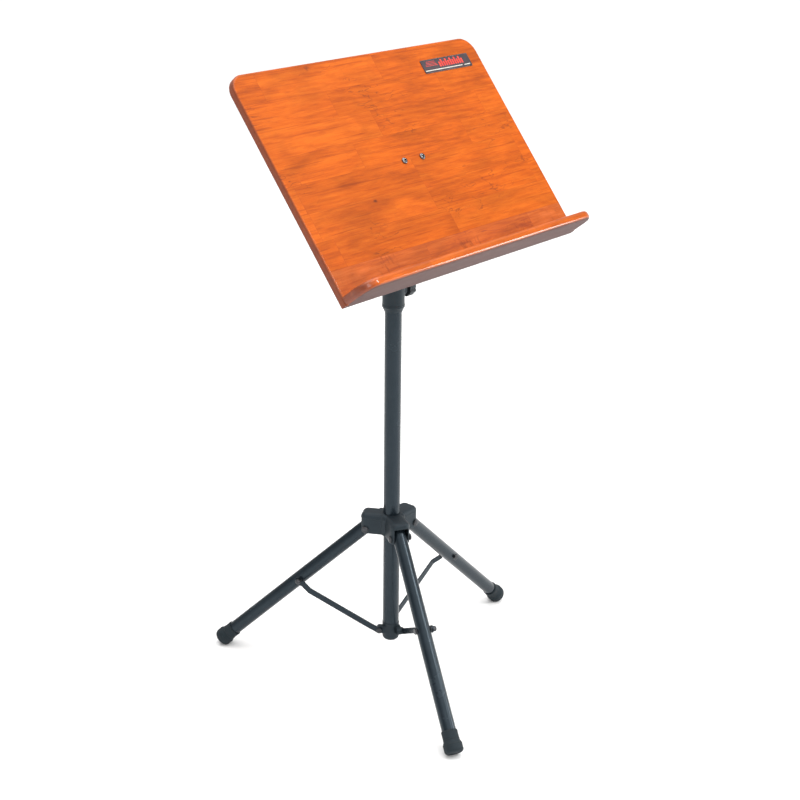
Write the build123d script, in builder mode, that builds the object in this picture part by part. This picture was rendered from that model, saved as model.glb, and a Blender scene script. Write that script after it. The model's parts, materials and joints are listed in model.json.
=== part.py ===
from build123d import *
import math
import os

os.makedirs("parts", exist_ok=True)

# Frame: origin on the floor under the post, +Z up, the desk faces -Y. Millimetres.

# Desk
desk_width = 500.0
desk_height = 336.0
board_thickness = 12.0
board_top_radius = 25.0
board_bottom_radius = 6.0
board_edge_round = 3.0
ledge_depth = 47.0
ledge_thickness = 13.5
ledge_corner_radius = 26.0
ledge_edge_round = 5.0
tilt_back = 38.1
tilt_height = 777.5
face_reach = 43.0
back_reach = face_reach - board_thickness
badge_width = 108.0
badge_height = 21.5
badge_thickness = 0.8
badge_corner = 1.5
badge_x = 169.0
badge_y = desk_height / 2 - 37.0
ledge_screw_x = (-190.0, -65.0, 65.0, 190.0)
ledge_screw_y = -desk_height / 2 + ledge_thickness / 2
ledge_screw_radius = 2.0
ledge_screw_head = 4.0
ledge_screw_length = 38.0
screw_head_depth = 2.2
screw_tip = 4.0
screw_recess_arm = 2.3
screw_recess_width = 0.9
screw_recess_depth = 1.7

# Post
post_radius = 12.5
post_wall = 1.5
post_bottom = 72.0
post_top = 607.0
inner_radius = 9.5
inner_wall = 1.5
inner_bottom = 290.0
inner_top = 760.0
head_pin_height = 749.0
head_pin_radius = 2.0
head_pin_reach = 12.8
running_gap = 0.05
part_gap = 0.1

# Tripod
leg_angles = (0.0, 120.0, 240.0)
leg_radius = 10.5
leg_wall = 1.5
leg_lean = 46.74
leg_pivot_reach = 38.0
leg_pivot_height = 231.5
leg_top_run = 10.0
leg_end_run = 319.0
foot_end_run = 327.2
strut_joint_run = 145.2
strut_foot_reach = 16.0
strut_foot_height = 60.5
strut_thickness = 2.0
strut_half_height = 4.5
strut_rise = 1.0
strut_eye_radius = 5.6
strut_inner_side = 12.2
strut_outer_side = strut_inner_side + strut_thickness
strut_bow = ((8.0, 0.0), (14.0, 1.2), (124.0, 6.4), (137.0, 0.0))

# Hub
hub_bottom = 225.0
hub_top = 257.0
hub_boss_radius = 20.0
hub_top_round = 7.0
lobe_reach = 46.0
lobe_width = 30.0
lobe_corner = 9.0
slot_width = 21.6
slot_roof = 248.6

# Clamp collar at the top of the post
collar_bottom = 577.0
collar_top = 622.0
collar_radius = 16.3
collar_band = 0.35
collar_boss_reach = 20.0
collar_boss_radius = 8.5
height_knob_height = 605.0
height_knob_start = 20.4
height_knob_length = 17.2
height_knob_radius = 12.0

# Screws and knobs
m6_radius = 3.0
m5_radius = 2.5
desk_bolt_spacing = 38.0
bolt_x = (-desk_bolt_spacing / 2, desk_bolt_spacing / 2)
bracket_plate = 2.5
bracket_width = 66.0
bracket_height = 56.0
bracket_corner = 8.0
ear_root = 17.0
ear_inner = 10.5
ear_outer = ear_inner + bracket_plate
ear_radius = 12.0
tongue_half = 9.0
hub_knob_height = 237.0
hub_knob_angle = 60.0
knob_flutes = 8
flute_radius = 3.4
flute_offset = 2.2
washer_thickness = 1.2
tilt_knob_start = ear_outer + washer_thickness + part_gap


def save(builder, name):
    builder.part.label = name
    export_step(builder.part, f"parts/{name}.step")


def radial(angle, reach, height):
    """A point at a distance from the post axis, in the direction of the angle."""
    turn = math.radians(angle)
    return Vector(reach * math.cos(turn), reach * math.sin(turn), height)


def sideways(angle):
    """Unit vector square to the leg's upright plane, anticlockwise from above."""
    return radial(angle + 90, 1, 0)


def upright_plane(angle, side):
    """Local x runs outward from the post, local y runs up, side is measured anticlockwise."""
    return Plane(origin=sideways(angle) * side, x_dir=radial(angle, 1, 0), z_dir=sideways(angle) * -1)


def leg_axis(angle):
    lean = math.radians(leg_lean)
    return radial(angle, math.sin(lean), -math.cos(lean))


def leg_point(angle, run):
    return radial(angle, leg_pivot_reach, leg_pivot_height) + leg_axis(angle) * run


def leg_plane(angle, run):
    """Square to the leg, its z along the leg towards the foot and its x sideways."""
    return Plane(origin=leg_point(angle, run), x_dir=sideways(angle), z_dir=leg_axis(angle))


def cross_plane(angle, run, side):
    """Normal is sideways, centred on the leg axis."""
    origin = leg_point(angle, run) + sideways(angle) * side
    return Plane(origin=origin, x_dir=radial(angle, 1, 0), z_dir=sideways(angle))


def desk_plane(depth):
    """Local x is the desk's right, y runs up the slope, z faces the player."""
    turn = math.radians(tilt_back)
    facing = Vector(0, -math.cos(turn), math.sin(turn))
    origin = Vector(0, 0, tilt_height) + facing * depth
    return Plane(origin=origin, x_dir=(1, 0, 0), z_dir=facing)


def ledge_plane():
    """On the underside of the ledge, normal up the slope, local -y towards the player."""
    face = desk_plane(face_reach)
    return Plane(
        origin=face.from_local_coords((0, -desk_height / 2, 0)), x_dir=(1, 0, 0), z_dir=face.y_dir
    )


def tilt_plane(x):
    """Square to the tilt axis at a distance to the right; local x faces the player."""
    return Plane(origin=(x, 0, tilt_height), x_dir=desk_plane(0).z_dir, z_dir=(1, 0, 0))


def make_board():
    with BuildPart() as board:
        with BuildSketch(desk_plane(back_reach)):
            outline = Rectangle(desk_width, desk_height)
            corners = outline.vertices().sort_by(Axis.Y)
            fillet(corners[2:], board_top_radius)
            fillet(outline.vertices().sort_by(Axis.Y)[:2], board_bottom_radius)
        extrude(amount=board_thickness)
        slope = Axis((0, 0, 0), desk_plane(0).y_dir)
        facing = Axis((0, 0, 0), desk_plane(0).z_dir)
        back = board.faces().sort_by(facing)[0]
        front = board.faces().sort_by(facing)[-1]
        fillet(back.edges() + front.edges().sort_by(slope)[1:], board_edge_round)
        with Locations(*[desk_plane(face_reach).location * Location((x, 0, 0)) for x in bolt_x]):
            Hole(m5_radius + part_gap, depth=board_thickness)
        turned = desk_plane(back_reach).location * Location((0, 0, 0), (180, 0, 0))
        with Locations(*[turned * Location((x, -ledge_screw_y, 0)) for x in ledge_screw_x]):
            CounterSinkHole(ledge_screw_radius + part_gap, ledge_screw_head + part_gap, depth=board_thickness)
    save(board, "desk_board")


def make_ledge():
    with BuildPart() as ledge:
        with BuildSketch(ledge_plane()):
            plate = Rectangle(desk_width, ledge_depth, align=(Align.CENTER, Align.MAX))
            fillet(plate.vertices().sort_by(Axis.Y)[:2], ledge_corner_radius)
        extrude(amount=ledge_thickness)
        facing = Axis((0, 0, 0), desk_plane(0).z_dir)
        slope = Axis((0, 0, 0), desk_plane(0).y_dir)
        joint = ledge.faces().sort_by(facing)[0]
        rims = ledge.faces().sort_by(slope)[0].edges() + ledge.faces().sort_by(slope)[-1].edges()
        kept = rims.filter_by(lambda edge: edge not in joint.edges())
        fillet(kept, ledge_edge_round)
        joint_plane = desk_plane(face_reach).location * Location((0, 0, 0), (180, 0, 0))
        with Locations(*[joint_plane * Location((x, -ledge_screw_y, 0)) for x in ledge_screw_x]):
            Hole(ledge_screw_radius + part_gap, depth=ledge_screw_length - board_thickness + 1)
    save(ledge, "desk_ledge")


def make_badge():
    """Thin metal plate near the top right corner of the desk."""
    with BuildPart() as badge:
        with BuildSketch(desk_plane(face_reach)):
            with Locations((badge_x, badge_y)):
                RectangleRounded(badge_width, badge_height, badge_corner)
        extrude(amount=badge_thickness)
    save(badge, "desk_badge")


def make_ledge_screws():
    """Countersunk cross-head screws driven from the back of the board into the ledge."""
    with BuildPart() as screws:
        for x in ledge_screw_x:
            with BuildSketch(desk_plane(back_reach)):
                with Locations((x, ledge_screw_y)):
                    Circle(ledge_screw_head - part_gap)
            with BuildSketch(desk_plane(back_reach + screw_head_depth)):
                with Locations((x, ledge_screw_y)):
                    Circle(ledge_screw_radius - part_gap)
            loft()
            with BuildSketch(desk_plane(back_reach + screw_head_depth)):
                with Locations((x, ledge_screw_y)):
                    Circle(ledge_screw_radius - part_gap)
            extrude(amount=ledge_screw_length - screw_head_depth - screw_tip)
            with BuildSketch(desk_plane(back_reach + ledge_screw_length - screw_tip)):
                with Locations((x, ledge_screw_y)):
                    Circle(ledge_screw_radius - part_gap)
            extrude(amount=screw_tip, taper=22)
            with BuildSketch(desk_plane(back_reach)):
                with Locations((x, ledge_screw_y)):
                    Rectangle(2 * screw_recess_arm, screw_recess_width)
                    Rectangle(screw_recess_width, 2 * screw_recess_arm)
            extrude(amount=screw_recess_depth, mode=Mode.SUBTRACT)
    save(screws, "ledge_screws")


def make_desk_bolts():
    """Button-head socket bolts through the middle of the board."""
    head_radius, head_height, socket_depth = 4.75, 2.75, 1.6
    length = board_thickness + bracket_plate + 7.5
    with BuildPart() as bolts:
        with BuildSketch(desk_plane(face_reach)):
            with Locations(*[(x, 0) for x in bolt_x]):
                Circle(head_radius)
        extrude(amount=head_height)
        facing = Axis((0, 0, 0), desk_plane(0).z_dir)
        domes = bolts.faces().group_by(facing)[-1].edges()
        fillet(domes, 2.2)
        with BuildSketch(desk_plane(face_reach + head_height)):
            with Locations(*[(x, 0) for x in bolt_x]):
                RegularPolygon(1.6, 6, major_radius=False)
        extrude(amount=-socket_depth, mode=Mode.SUBTRACT)
        with BuildSketch(desk_plane(face_reach)):
            with Locations(*[(x, 0) for x in bolt_x]):
                Circle(m5_radius)
        extrude(amount=-length)
    save(bolts, "desk_bolts")


def make_desk_nuts():
    """Lock washer and hex nut behind the bracket on each desk bolt."""
    washer, height = 1.0, 4.0
    with BuildPart() as nuts:
        with BuildSketch(desk_plane(back_reach - bracket_plate)):
            with Locations(*[(x, 0) for x in bolt_x]):
                Circle(4.6)
                Circle(m5_radius + part_gap, mode=Mode.SUBTRACT)
        extrude(amount=-washer)
        with BuildSketch(desk_plane(back_reach - bracket_plate - washer)):
            with Locations(*[(x, 0) for x in bolt_x]):
                RegularPolygon(4.0, 6, major_radius=False)
                Circle(m5_radius + part_gap, mode=Mode.SUBTRACT)
        extrude(amount=-height)
    save(nuts, "desk_nuts")


def make_bracket():
    """Steel channel: a plate on the back of the board and two ears round the tilt bolt."""
    with BuildPart() as bracket:
        with BuildSketch(desk_plane(back_reach)):
            RectangleRounded(bracket_width, bracket_height, bracket_corner)
            with Locations(*[(x, 0) for x in bolt_x]):
                Circle(m5_radius + part_gap, mode=Mode.SUBTRACT)
        extrude(amount=-bracket_plate)
        for x in (-ear_outer, ear_inner):
            with BuildSketch(tilt_plane(x)):
                with BuildLine():
                    root = Polyline((back_reach - 1, ear_root), (back_reach - 1, -ear_root))
                    lower = Line(root @ 1, (0, -ear_radius))
                    ThreePointArc(lower @ 1, (-ear_radius, 0), (0, ear_radius))
                    Line((0, ear_radius), root @ 0)
                make_face()
                Circle(m6_radius + part_gap, mode=Mode.SUBTRACT)
            extrude(amount=bracket_plate)
    save(bracket, "desk_bracket")


def knob_profile(plane, neck_radius, neck, head_radius, length, bore):
    """Fluted hand knob whose axis is the plane's z: a plain neck, then a fluted head."""
    with BuildPart() as knob:
        with BuildSketch(plane):
            Circle(neck_radius)
        extrude(amount=neck)
        with BuildSketch(plane.offset(neck)):
            Circle(head_radius)
            with PolarLocations(head_radius + flute_offset, knob_flutes):
                Circle(flute_radius, mode=Mode.SUBTRACT)
        extrude(amount=length - neck)
        end = knob.faces().sort_by(Axis((0, 0, 0), plane.z_dir))[-1]
        fillet(end.edges(), 1.2)
        with BuildSketch(plane):
            Circle(bore)
        extrude(amount=length - 4, mode=Mode.SUBTRACT)
    return knob


def make_tilt_bolt():
    """Carriage bolt on the tilt axis; its domed head sits outside the left ear."""
    head_radius, head_height, shank_end = 7.0, 3.4, 31.0
    with BuildPart() as bolt:
        with BuildSketch(tilt_plane(-ear_outer - head_height)):
            Circle(head_radius)
        extrude(amount=head_height)
        fillet(bolt.faces().sort_by(Axis.X)[0].edges(), 2.6)
        with BuildSketch(tilt_plane(-ear_outer)):
            Circle(m6_radius)
        extrude(amount=ear_outer + shank_end)
    save(bolt, "tilt_bolt")


def make_tilt_washers():
    """Friction washers between the head and the ears, and a steel one under the knob."""
    with BuildPart() as washers:
        for x in (-ear_inner + 0.1, tongue_half + 0.15):
            with BuildSketch(tilt_plane(x)):
                Circle(10)
                Circle(m6_radius + part_gap, mode=Mode.SUBTRACT)
            extrude(amount=washer_thickness)
    save(washers, "friction_washers")
    with BuildPart() as cover:
        with BuildSketch(tilt_plane(ear_outer + 0.05)):
            Circle(8)
            Circle(m6_radius + part_gap, mode=Mode.SUBTRACT)
        extrude(amount=washer_thickness - 0.1)
    save(cover, "tilt_washer")


def make_tilt_knob():
    start = tilt_plane(tilt_knob_start)
    knob = knob_profile(start, 8.0, 4.0, 14.0, 22.0, 5.0 + part_gap)
    save(knob, "tilt_knob")
    with BuildPart() as insert:
        with BuildSketch(start):
            Circle(5)
            Circle(m6_radius + part_gap, mode=Mode.SUBTRACT)
        extrude(amount=17.5)
    save(insert, "tilt_knob_insert")


def make_tilt_head():
    """Socket over the inner tube with a tongue between the ears."""
    socket_radius, socket_bottom, socket_top = 13.0, 738.0, 763.4
    with BuildPart() as head:
        with BuildSketch(Plane.XY.offset(socket_bottom)):
            Circle(socket_radius)
        extrude(amount=socket_top - socket_bottom)
        fillet(head.edges().filter_by(GeomType.CIRCLE).sort_by(Axis.Z)[0], 1.5)
        with BuildSketch(Plane.YZ.offset(-tongue_half)):
            with Locations((0, tilt_height)):
                Circle(ear_radius - 1)
            with Locations((0, (tilt_height + socket_top) / 2)):
                Rectangle(2 * ear_radius - 2, tilt_height - socket_top)
        extrude(amount=2 * tongue_half)
        with BuildSketch(tilt_plane(-tongue_half)):
            Circle(m6_radius + running_gap)
        extrude(amount=2 * tongue_half, mode=Mode.SUBTRACT)
        with BuildSketch(Plane.XY.offset(socket_bottom)):
            Circle(inner_radius + part_gap)
        extrude(amount=inner_top - socket_bottom + part_gap, mode=Mode.SUBTRACT)
        with BuildSketch(Plane.YZ.offset(-socket_radius)):
            with Locations((0, head_pin_height)):
                Circle(head_pin_radius + part_gap)
        extrude(amount=2 * socket_radius, mode=Mode.SUBTRACT)
    save(head, "tilt_head")


def make_inner_tube():
    with BuildPart() as tube:
        with BuildSketch(Plane.XY.offset(inner_bottom)):
            Circle(inner_radius)
            Circle(inner_radius - inner_wall, mode=Mode.SUBTRACT)
        extrude(amount=inner_top - inner_bottom)
        with BuildSketch(Plane.YZ.offset(-inner_radius)):
            with Locations((0, head_pin_height)):
                Circle(head_pin_radius + part_gap)
        extrude(amount=2 * inner_radius, mode=Mode.SUBTRACT)
    save(tube, "inner_tube")
    with BuildPart() as pin:
        with BuildSketch(Plane.YZ.offset(-head_pin_reach)):
            with Locations((0, head_pin_height)):
                Circle(head_pin_radius)
        extrude(amount=2 * head_pin_reach)
    save(pin, "head_pin")


def make_guide_bush():
    """Nylon guide on the lower end of the inner tube; the tube turns in it."""
    flange = 3.0
    with BuildPart() as bush:
        with BuildSketch(Plane.XY.offset(inner_bottom - flange - 0.1)):
            Circle(post_radius - post_wall - running_gap)
            Circle(inner_radius - inner_wall - 1, mode=Mode.SUBTRACT)
        extrude(amount=flange)
        with BuildSketch(Plane.XY.offset(inner_bottom - 0.1)):
            Circle(post_radius - post_wall - running_gap)
            Circle(inner_radius + running_gap, mode=Mode.SUBTRACT)
        extrude(amount=27)
    save(bush, "guide_bush")


def make_outer_tube():
    with BuildPart() as tube:
        with BuildSketch(Plane.XY.offset(post_bottom)):
            Circle(post_radius)
            Circle(post_radius - post_wall, mode=Mode.SUBTRACT)
        extrude(amount=post_top - post_bottom)
        with BuildSketch(Plane.YZ):
            with Locations((0, height_knob_height)):
                Circle(4)
        extrude(amount=post_radius + 1, mode=Mode.SUBTRACT)
    save(tube, "outer_tube")


def make_collar():
    """Clamp collar: short skirt, raised band, plain barrel, closed lip and a boss for the screw."""
    lip_bottom = post_top + 2.2
    band_bottom = collar_bottom + 7.0
    band_top = band_bottom + 4.0
    with BuildPart() as collar:
        with BuildSketch(Plane.XZ):
            with BuildLine():
                Polyline(
                    (post_radius + part_gap, collar_bottom),
                    (post_radius + 0.8, collar_bottom),
                    (post_radius + 1.4, collar_bottom + 2),
                    (collar_radius - 0.6, band_bottom - 1),
                    (collar_radius + collar_band, band_bottom),
                    (collar_radius + collar_band, band_top - 0.6),
                    (collar_radius, band_top),
                    (collar_radius, collar_top - 2.5),
                    (collar_radius - 2.5, collar_top),
                    (inner_radius + 0.6, collar_top),
                    (inner_radius + 0.6, lip_bottom),
                    (post_radius + part_gap, lip_bottom),
                    close=True,
                )
            make_face()
        revolve(axis=Axis.Z)
        with BuildSketch(Plane.YZ.offset(post_radius + 1)):
            with Locations((0, height_knob_height)):
                Circle(collar_boss_radius)
        extrude(amount=collar_boss_reach - post_radius - 1)
        with BuildSketch(Plane.YZ):
            with Locations((0, height_knob_height)):
                Circle(m6_radius + part_gap)
        extrude(amount=collar_boss_reach + 1, mode=Mode.SUBTRACT)
        with BuildSketch(Plane.YZ.offset(post_radius - 2)):
            with Locations((0, height_knob_height)):
                RegularPolygon(5.1, 6, major_radius=False)
        extrude(amount=7.2, mode=Mode.SUBTRACT)
    save(collar, "clamp_collar")
    with BuildPart() as nut:
        with BuildSketch(Plane.YZ.offset(post_radius + 2 * part_gap)):
            with Locations((0, height_knob_height)):
                RegularPolygon(5.0, 6, major_radius=False)
                Circle(m6_radius + part_gap, mode=Mode.SUBTRACT)
        extrude(amount=4.8)
    save(nut, "collar_nut")


def make_collar_bush():
    """Nylon bush between the two tubes at the top of the post."""
    length = 38.0
    bore = inner_radius + running_gap
    with BuildPart() as bush:
        with BuildSketch(Plane.XY.offset(post_top - length)):
            Circle(post_radius - post_wall - running_gap)
            Circle(bore, mode=Mode.SUBTRACT)
        extrude(amount=length)
        with BuildSketch(Plane.XY.offset(post_top)):
            Circle(post_radius)
            Circle(bore, mode=Mode.SUBTRACT)
        extrude(amount=2)
        with BuildSketch(Plane.YZ):
            with Locations((0, height_knob_height)):
                Circle(3.8)
        extrude(amount=post_radius, mode=Mode.SUBTRACT)
    save(bush, "collar_bush")


def make_height_knob():
    start = Plane(origin=(height_knob_start, 0, height_knob_height), x_dir=(0, 0, 1), z_dir=(1, 0, 0))
    knob = knob_profile(start, 7.0, 4.0, height_knob_radius, height_knob_length, m6_radius + part_gap)
    save(knob, "height_knob")
    with BuildPart() as screw:
        with BuildSketch(Plane.YZ.offset(inner_radius + 0.5)):
            with Locations((0, height_knob_height)):
                Circle(m6_radius)
        extrude(amount=height_knob_start + height_knob_length - 4.4 - inner_radius - 0.5)
    save(screw, "height_knob_screw")


def make_bottom_cap():
    """Moulded plug in the foot of the post with one lug for each strut."""
    cap_bottom, body_radius, lug_inner_side, lug_radius = 42.0, 12.9, 4.0, 5.6
    with BuildPart() as cap:
        with BuildSketch(Plane.XY.offset(cap_bottom)):
            Circle(body_radius)
        extrude(amount=post_bottom - part_gap - cap_bottom)
        fillet(cap.faces().sort_by(Axis.Z)[0].edges(), 6)
        with BuildSketch(Plane.XY.offset(post_bottom - 1)):
            Circle(post_radius - post_wall - part_gap)
        extrude(amount=26)
        for angle in leg_angles:
            with BuildSketch(upright_plane(angle, strut_inner_side - part_gap)):
                with Locations((strut_foot_reach, strut_foot_height)):
                    Circle(lug_radius)
                with Locations((strut_foot_reach / 2, strut_foot_height)):
                    Rectangle(strut_foot_reach, 2 * lug_radius)
            extrude(amount=strut_inner_side - lug_inner_side)
        for angle in leg_angles:
            with BuildSketch(upright_plane(angle, strut_inner_side)):
                with Locations((strut_foot_reach, strut_foot_height)):
                    Circle(m5_radius + running_gap)
            extrude(amount=7, mode=Mode.SUBTRACT)
    save(cap, "bottom_cap")
    with BuildPart() as rivets:
        for angle in leg_angles:
            with BuildSketch(upright_plane(angle, strut_outer_side + part_gap)):
                with Locations((strut_foot_reach, strut_foot_height)):
                    Circle(m5_radius)
            extrude(amount=strut_thickness + part_gap + 6.8)
            with BuildSketch(upright_plane(angle, strut_outer_side + part_gap)):
                with Locations((strut_foot_reach, strut_foot_height)):
                    Circle(4.0)
            extrude(amount=-1.8)
    save(rivets, "strut_rivets")


def make_hub():
    """Sliding spider with three clevis lobes, open below, and a boss for the lock knob."""
    with BuildPart() as hub:
        with BuildSketch(Plane.XY.offset(hub_bottom)):
            Circle(hub_boss_radius)
            for angle in leg_angles:
                with Locations(Location((0, 0, 0), (0, 0, angle))):
                    Rectangle(lobe_reach, lobe_width, align=(Align.MIN, Align.CENTER))
            outer = [v for v in vertices() if Vector(*v).length > lobe_reach]
            fillet(outer, lobe_corner)
        extrude(amount=hub_top - hub_bottom)
        fillet(hub.faces().sort_by(Axis.Z)[-1].edges(), hub_top_round)
        for angle in leg_angles:
            slot = Plane(origin=(0, 0, hub_bottom), x_dir=radial(angle, 1, 0), z_dir=(0, 0, 1))
            with BuildSketch(slot):
                with Locations((hub_boss_radius + 1.5, 0)):
                    Rectangle(lobe_reach, slot_width, align=(Align.MIN, Align.CENTER))
            extrude(amount=slot_roof - hub_bottom, mode=Mode.SUBTRACT)
        for angle in leg_angles:
            with BuildSketch(upright_plane(angle, lobe_width)):
                with Locations((leg_pivot_reach, leg_pivot_height)):
                    Circle(m6_radius + part_gap)
            extrude(amount=2 * lobe_width, mode=Mode.SUBTRACT)
        knob_axis = hub_knob_plane(0)
        with BuildSketch(knob_axis):
            Circle(8)
        extrude(amount=hub_boss_radius + 5)
        with BuildSketch(Plane.XY.offset(hub_bottom)):
            Circle(post_radius + part_gap)
        extrude(amount=hub_top - hub_bottom, mode=Mode.SUBTRACT)
        with BuildSketch(knob_axis):
            Circle(m6_radius + part_gap)
        extrude(amount=hub_boss_radius + 6, mode=Mode.SUBTRACT)
        with BuildSketch(hub_knob_plane(post_radius + 1.5)):
            RegularPolygon(5.1, 6, major_radius=False)
        extrude(amount=5, mode=Mode.SUBTRACT)
    save(hub, "hub_body")
    with BuildPart() as nut:
        with BuildSketch(hub_knob_plane(post_radius + 1.6)):
            RegularPolygon(5.0, 6, major_radius=False)
            Circle(m6_radius + part_gap, mode=Mode.SUBTRACT)
        extrude(amount=4.8)
    save(nut, "hub_nut")


def hub_knob_plane(reach):
    return Plane(
        origin=radial(hub_knob_angle, reach, hub_knob_height),
        x_dir=(0, 0, 1),
        z_dir=radial(hub_knob_angle, 1, 0),
    )


def make_hub_knob():
    knob = knob_profile(hub_knob_plane(hub_boss_radius + 5.4), 6.5, 3.5, 10.0, 18.0, m6_radius + part_gap)
    save(knob, "hub_knob")
    with BuildPart() as screw:
        with BuildSketch(hub_knob_plane(post_radius + 0.5)):
            Circle(m6_radius)
        extrude(amount=26)
    save(screw, "hub_knob_screw")


def make_leg_rivets():
    head = 1.8
    half = lobe_width / 2
    with BuildPart() as rivets:
        for angle in leg_angles:
            with BuildSketch(cross_plane(angle, 0, -half - head)):
                Circle(5)
            extrude(amount=head)
            with BuildSketch(cross_plane(angle, 0, -half)):
                Circle(m6_radius)
            extrude(amount=2 * half)
            with BuildSketch(cross_plane(angle, 0, half)):
                Circle(5)
            extrude(amount=head)
    save(rivets, "leg_rivets")


def make_leg(number, angle):
    with BuildPart() as tube:
        with BuildSketch(leg_plane(angle, -leg_top_run)):
            Circle(leg_radius)
            Circle(leg_radius - leg_wall, mode=Mode.SUBTRACT)
        extrude(amount=leg_top_run + leg_end_run)
        with BuildSketch(cross_plane(angle, 0, -leg_radius)):
            Circle(m6_radius + part_gap)
        extrude(amount=2 * leg_radius, mode=Mode.SUBTRACT)
        with BuildSketch(cross_plane(angle, strut_joint_run, -leg_radius)):
            Circle(m5_radius + part_gap)
        extrude(amount=2 * leg_radius, mode=Mode.SUBTRACT)
    save(tube, f"leg_tube_{number}")


def make_leg_plug(number, angle):
    """Nylon plug that closes the top of the leg and carries the pivot rivet."""
    flange = 2.0
    with BuildPart() as plug:
        with BuildSketch(leg_plane(angle, -leg_top_run - flange)):
            Circle(leg_radius)
        extrude(amount=flange)
        fillet(plug.edges().sort_by(Axis((0, 0, 0), leg_axis(angle)))[0], 1.5)
        with BuildSketch(leg_plane(angle, -leg_top_run)):
            Circle(leg_radius - leg_wall - part_gap)
        extrude(amount=leg_top_run + 14)
        with BuildSketch(cross_plane(angle, 0, -leg_radius)):
            Circle(m6_radius + running_gap)
        extrude(amount=2 * leg_radius, mode=Mode.SUBTRACT)
    save(plug, f"leg_plug_{number}")


def make_foot(number, angle):
    """Rubber boot: a sleeve over the leg, then a round bulb with a flat cut on the floor."""
    sleeve, bulb = 11.8, 14.0
    start = foot_end_run - 32
    with BuildPart() as foot:
        with BuildSketch(leg_plane(angle, start)):
            Circle(sleeve)
        extrude(amount=14)
        with BuildSketch(leg_plane(angle, start + 14)):
            Circle(sleeve)
        with BuildSketch(leg_plane(angle, start + 19)):
            Circle(bulb)
        loft()
        with BuildSketch(leg_plane(angle, start + 19)):
            Circle(bulb)
        extrude(amount=13)
        along = Axis((0, 0, 0), leg_axis(angle))
        fillet(foot.edges().filter_by(GeomType.CIRCLE).sort_by(along)[-1], 5)
        with BuildSketch(leg_plane(angle, start)):
            Circle(leg_radius + part_gap)
        extrude(amount=leg_end_run + part_gap - start, mode=Mode.SUBTRACT)
        split(bisect_by=Plane.XY, keep=Keep.TOP)
    save(foot, f"foot_{number}")


def make_leg_bolt(number, angle):
    """Bolt through the leg: hex head on one side, spacer towards the strut on the other."""
    head = 3.4
    end = strut_inner_side - 0.35
    with BuildPart() as bolt:
        with BuildSketch(cross_plane(angle, strut_joint_run, -leg_radius - head)):
            RegularPolygon(4.0, 6, major_radius=False)
        extrude(amount=head)
        with BuildSketch(cross_plane(angle, strut_joint_run, -leg_radius)):
            Circle(m5_radius)
        extrude(amount=leg_radius + end)
        with BuildSketch(cross_plane(angle, strut_joint_run, leg_radius)):
            Circle(5)
        extrude(amount=end - leg_radius)
    save(bolt, f"leg_bolt_{number}")


def strut_plane(angle, side):
    """Normal is sideways, local x runs up the strut from its lower pivot."""
    top = leg_point(angle, strut_joint_run)
    foot = radial(angle, strut_foot_reach, strut_foot_height)
    return Plane(
        origin=foot + sideways(angle) * side, x_dir=(top - foot).normalized(), z_dir=sideways(angle)
    )


def strut_length(angle):
    top = leg_point(angle, strut_joint_run)
    return (top - radial(angle, strut_foot_reach, strut_foot_height)).length


def make_strut(number, angle):
    """Flat bar with a round eye at each end, bowed away from the leg between them."""
    span = strut_length(angle)
    flat = strut_plane(angle, 0)
    bottom = strut_rise - strut_half_height
    side = Plane(origin=flat.from_local_coords((0, bottom, 0)), x_dir=flat.x_dir, z_dir=flat.y_dir)
    near = [(0, 0.0)] + list(strut_bow) + [(span, 0.0)]
    inner = [(run, -strut_inner_side - out) for run, out in near]
    outer = [(run, across - strut_thickness) for run, across in reversed(inner)]
    with BuildPart() as strut:
        with BuildSketch(side):
            with BuildLine():
                Polyline(*inner, *outer, close=True)
            make_face()
        extrude(amount=2 * strut_half_height)
        with BuildSketch(strut_plane(angle, strut_inner_side)):
            with Locations((0, 0), (span, 0)):
                Circle(strut_eye_radius)
        extrude(amount=strut_thickness)
        with BuildSketch(strut_plane(angle, strut_inner_side)):
            with Locations((0, 0), (span, 0)):
                Circle(m5_radius + part_gap)
        extrude(amount=strut_thickness, mode=Mode.SUBTRACT)
    save(strut, f"strut_{number}")


def make_strut_nut(number, angle):
    """Dome nut on the outer side of the strut, with its stub in the strut's upper eye."""
    height = 4.2
    top = strut_plane(angle, strut_outer_side + part_gap)
    axis_point = top.from_local_coords((strut_length(angle), 0, 0))
    outer = Plane(origin=axis_point, x_dir=top.x_dir, z_dir=top.z_dir)
    with BuildPart() as nut:
        with BuildSketch(outer):
            RegularPolygon(4.0, 6, major_radius=False)
        extrude(amount=height)
        with BuildSketch(outer.offset(height)):
            Circle(3.2)
        extrude(amount=1.2, taper=30)
        with BuildSketch(outer):
            Circle(m5_radius)
        extrude(amount=-strut_thickness)
    save(nut, f"strut_nut_{number}")


make_board()
make_ledge()
make_badge()
make_ledge_screws()
make_desk_bolts()
make_desk_nuts()
make_bracket()
make_tilt_bolt()
make_tilt_washers()
make_tilt_knob()
make_tilt_head()
make_inner_tube()
make_guide_bush()
make_outer_tube()
make_collar()
make_collar_bush()
make_height_knob()
make_bottom_cap()
make_hub()
make_hub_knob()
make_leg_rivets()
for number, angle in enumerate(leg_angles, start=1):
    make_leg(number, angle)
    make_leg_plug(number, angle)
    make_foot(number, angle)
    make_leg_bolt(number, angle)
    make_strut(number, angle)
    make_strut_nut(number, angle)
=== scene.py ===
import json
import math
import random

import bmesh
import bpy
from mathutils import Matrix, Vector


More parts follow.
